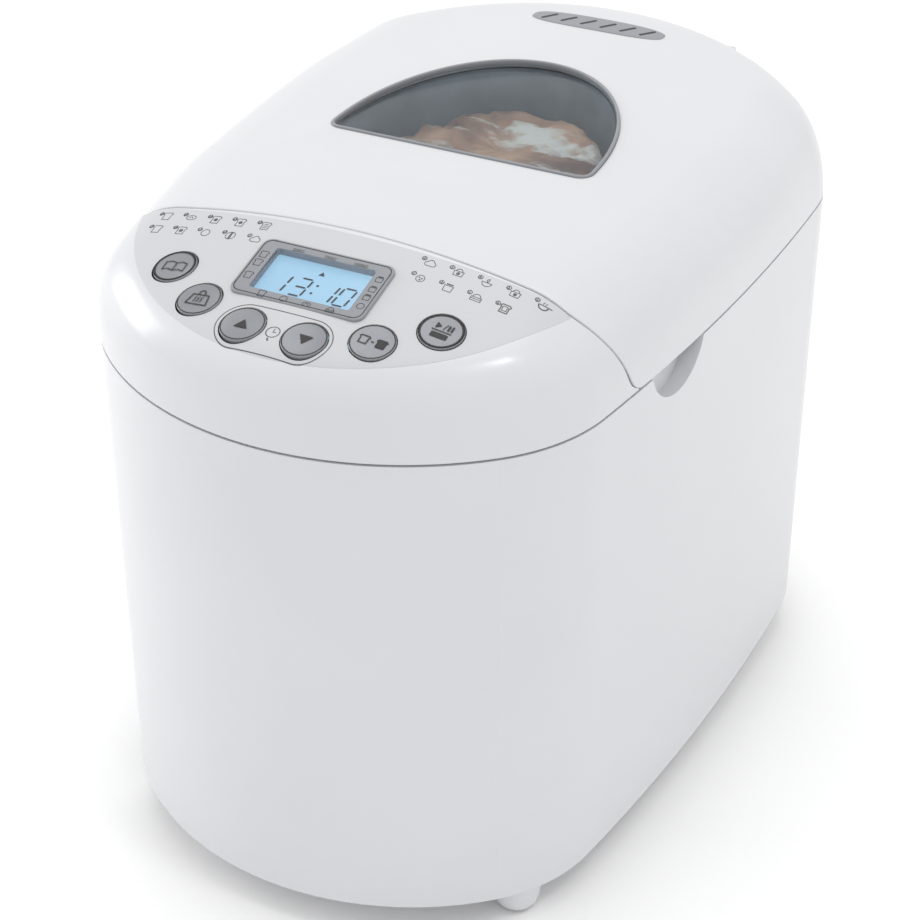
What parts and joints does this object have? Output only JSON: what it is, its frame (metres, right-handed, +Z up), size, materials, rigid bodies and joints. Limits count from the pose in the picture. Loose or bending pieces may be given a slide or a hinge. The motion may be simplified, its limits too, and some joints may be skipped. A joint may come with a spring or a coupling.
{
  "type": "bread machine",
  "caption": "Free-standing bread machine: oval casing, sloping control panel with display, hinged lid with window, heated chamber, lift-out pan and belt-driven kneading paddle.",
  "frame": {"origin": "on the surface the machine stands on, under the middle of its bounding box", "axes": "+Z up; the control panel faces -Y and the lid's hinge is at +Y; +X is to the right of a person who faces the panel"},
  "size_m": [0.2306, 0.3442, 0.2749],
  "materials": {
    "white_casing": "white satin gloss",
    "white_matte": "white matt",
    "panel_film": "white printed film",
    "grey_plastic": "mid grey satin",
    "button_grey": "mid grey satin",
    "black_plastic": "black moulded",
    "fan_plastic": "natural nylon",
    "clear_lens": "clear polished",
    "clear_pane": "clear, slightly smoky",
    "dark_rubber": "matt",
    "black_belt": "matt",
    "bright_steel": "bright",
    "sheet_steel": "galvanised sheet",
    "spring_steel": "rolled strip",
    "heater_tube": "heat-tinted",
    "motor_iron": "laminations",
    "cast_aluminium": "as cast",
    "bronze": "sintered",
    "copper_wire": "varnished",
    "white_ceramic": "unglazed",
    "capacitor_case": "drawn can",
    "circuit_board": "green solder mask",
    "lit_display": "back-lit",
    "pan_coating": "dark non-stick"
  },
  "bodies": {
    "casing": {"body_shell": "white_casing", "top_cover": "white_casing", "base_plate": "white_matte", "feet": "white_matte", "foot_pads": "dark_rubber", "cord_gland": "dark_rubber", "hinge_pins": "bright_steel", "panel_overlay": "panel_film", "display_bezel": "grey_plastic", "display_window": "clear_lens", "lcd_module": "lit_display", "control_board": "circuit_board", "tact_switches": "black_plastic", "oven_liner": "sheet_steel", "heating_element": "heater_tube", "element_clips": "sheet_steel", "element_terminals": "white_ceramic", "temperature_sensor": "bright_steel", "thermal_fuse": "black_plastic", "pan_socket": "sheet_steel", "pan_spring_clips": "spring_steel", "chassis_plate": "sheet_steel", "bearing_housing": "cast_aluminium", "shaft_bushes": "bronze", "drive_belt": "black_belt", "motor_stator": "motor_iron", "motor_coils": "copper_wire", "motor_brackets": "cast_aluminium", "motor_bolts": "bright_steel", "motor_capacitor": "capacitor_case", "power_board": "circuit_board", "board_components": "black_plastic", "base_screws": "bright_steel", "chassis_screws": "bright_steel"},
    "lid": {"lid_shell": "white_casing", "window_gasket": "grey_plastic", "lid_window": "clear_pane", "lid_liner": "sheet_steel", "lid_vent_grille": "grey_plastic", "lid_screws": "bright_steel"},
    "drive": {"drive_shaft": "bright_steel", "drive_coupler": "cast_aluminium", "driven_pulley": "black_plastic"},
    "motor": {"motor_shaft": "bright_steel", "motor_rotor": "motor_iron", "motor_pulley": "bright_steel", "motor_fan": "fan_plastic"},
    "pan": {"baking_pan": "pan_coating", "pan_base_ring": "cast_aluminium", "pan_bush": "cast_aluminium"},
    "handle": {"pan_handle": "bright_steel"},
    "spindle": {"pan_spindle": "bright_steel", "spindle_dog": "bright_steel"},
    "paddle": {"kneading_paddle": "pan_coating"},
    "button_menu_body": {"button_menu": "button_grey"},
    "button_weight_body": {"button_weight": "button_grey"},
    "button_up_body": {"button_up": "button_grey"},
    "button_down_body": {"button_down": "button_grey"},
    "button_browning_body": {"button_browning": "button_grey"},
    "button_start_stop_body": {"button_start_stop": "button_grey"}
  },
  "joints": [
    {"name": "lid_hinge", "type": "hinge", "parent": "casing", "child": "lid", "pos_m": [0, 0.156, 0.232], "axis": [-1, 0, 0], "range_deg": [0, 90]},
    {"name": "drive_shaft_turn", "type": "hinge", "parent": "casing", "child": "drive", "pos_m": [0, 0.028, 0.04], "axis": [0, 0, 1], "continuous": true},
    {"name": "motor_turn", "type": "hinge", "parent": "casing", "child": "motor", "pos_m": [0, -0.118, 0.09], "axis": [0, 0, 1], "continuous": true},
    {"name": "pan_lift", "type": "slide", "parent": "casing", "child": "pan", "axis": [0, 0, 1], "range_m": [0, 0.012]},
    {"name": "pan_handle_swing", "type": "hinge", "parent": "pan", "child": "handle", "pos_m": [0, 0.028, 0.193], "axis": [-1, 0, 0], "range_deg": [0, 10]},
    {"name": "pan_spindle_turn", "type": "hinge", "parent": "pan", "child": "spindle", "pos_m": [0, 0.028, 0.09], "axis": [0, 0, 1], "continuous": true},
    {"name": "paddle_lift", "type": "slide", "parent": "spindle", "child": "paddle", "axis": [0, 0, 1], "range_m": [0, 0.03]},
    {"name": "button_menu_press", "type": "slide", "parent": "casing", "child": "button_menu_body", "axis": [0.129, 0.2533, -0.9587], "range_m": [0, 0.0012], "stiffness_N_per_m": 500, "springref_m": -0.0005},
    {"name": "button_weight_press", "type": "slide", "parent": "casing", "child": "button_weight_body", "axis": [0.0833, 0.2546, -0.9635], "range_m": [0, 0.0012], "stiffness_N_per_m": 500, "springref_m": -0.0005},
    {"name": "button_up_press", "type": "slide", "parent": "casing", "child": "button_up_body", "axis": [0.0295, 0.2553, -0.9664], "range_m": [0, 0.0012], "stiffness_N_per_m": 500, "springref_m": -0.0005},
    {"name": "button_down_press", "type": "slide", "parent": "casing", "child": "button_down_body", "axis": [-0.0295, 0.2553, -0.9664], "range_m": [0, 0.0012], "stiffness_N_per_m": 500, "springref_m": -0.0005},
    {"name": "button_browning_press", "type": "slide", "parent": "casing", "child": "button_browning_body", "axis": [-0.0833, 0.2546, -0.9635], "range_m": [0, 0.0012], "stiffness_N_per_m": 500, "springref_m": -0.0005},
    {"name": "button_start_stop_press", "type": "slide", "parent": "casing", "child": "button_start_stop_body", "axis": [-0.129, 0.2533, -0.9587], "range_m": [0, 0.0012], "stiffness_N_per_m": 500, "springref_m": -0.0005}
  ],
  "couplings": [
    {"joint": "motor_turn", "follows": "drive_shaft_turn", "ratio": 6.7059},
    {"joint": "pan_spindle_turn", "follows": "drive_shaft_turn", "ratio": 1}
  ]
}
